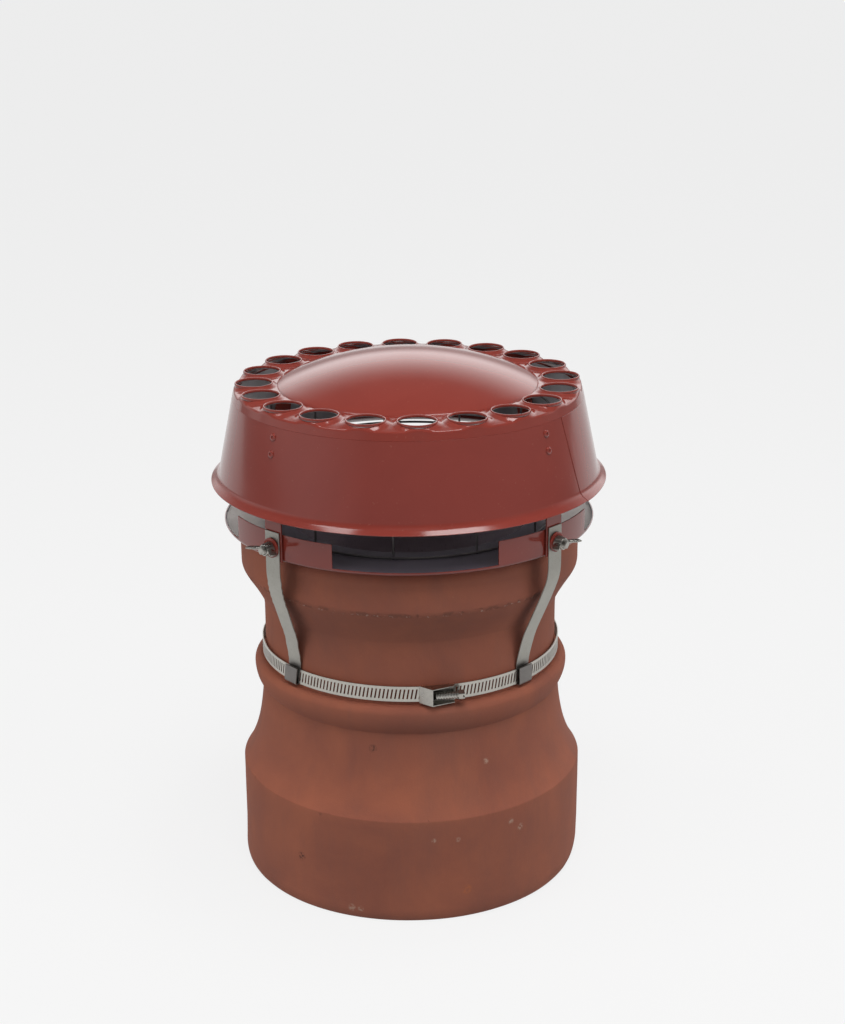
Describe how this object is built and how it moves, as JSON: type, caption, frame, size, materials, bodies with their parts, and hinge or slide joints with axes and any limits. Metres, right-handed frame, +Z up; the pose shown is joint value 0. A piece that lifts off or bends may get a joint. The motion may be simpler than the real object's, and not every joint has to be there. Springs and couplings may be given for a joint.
{
  "type": "chimney cowl",
  "caption": "Round painted steel chimney cowl, a domed canopy with a ring of holes over a vented tray, strapped and clamped round the neck of a short terracotta roll pot.",
  "frame": {"origin": "centre of the pot's flat foot, on the surface that it stands on", "axes": "+Z up along the common axis; -Y towards the front, the side with the clamp's screw housing; +X to the right seen from the front"},
  "size_m": [0.3236, 0.3236, 0.4363],
  "materials": {
    "terracotta": "matt weathered clay",
    "cowl_coat": "glossy terracotta-red coating",
    "galvanised_steel": "dull zinc-coated steel",
    "plated_steel": "bright zinc-plated steel"
  },
  "bodies": {
    "root": {"base_tray": "cowl_coat", "bird_guard": "galvanised_steel", "bolt_1": "plated_steel", "bolt_2": "plated_steel", "bolt_3": "plated_steel", "bolt_4": "plated_steel", "bracket_1": "cowl_coat", "bracket_2": "cowl_coat", "bracket_3": "cowl_coat", "bracket_4": "cowl_coat", "canopy_skirt": "cowl_coat", "canopy_top": "cowl_coat", "chimney_pot": "terracotta", "clamp_band": "galvanised_steel", "clamp_housing": "galvanised_steel", "clamp_screw": "plated_steel", "strap_1": "galvanised_steel", "strap_2": "galvanised_steel", "strap_3": "galvanised_steel", "strap_4": "galvanised_steel", "washer_1": "cowl_coat", "washer_2": "cowl_coat", "washer_3": "cowl_coat", "washer_4": "cowl_coat", "wing_nut_1": "plated_steel", "wing_nut_2": "plated_steel", "wing_nut_3": "plated_steel", "wing_nut_4": "plated_steel"}
  },
  "joints": []
}
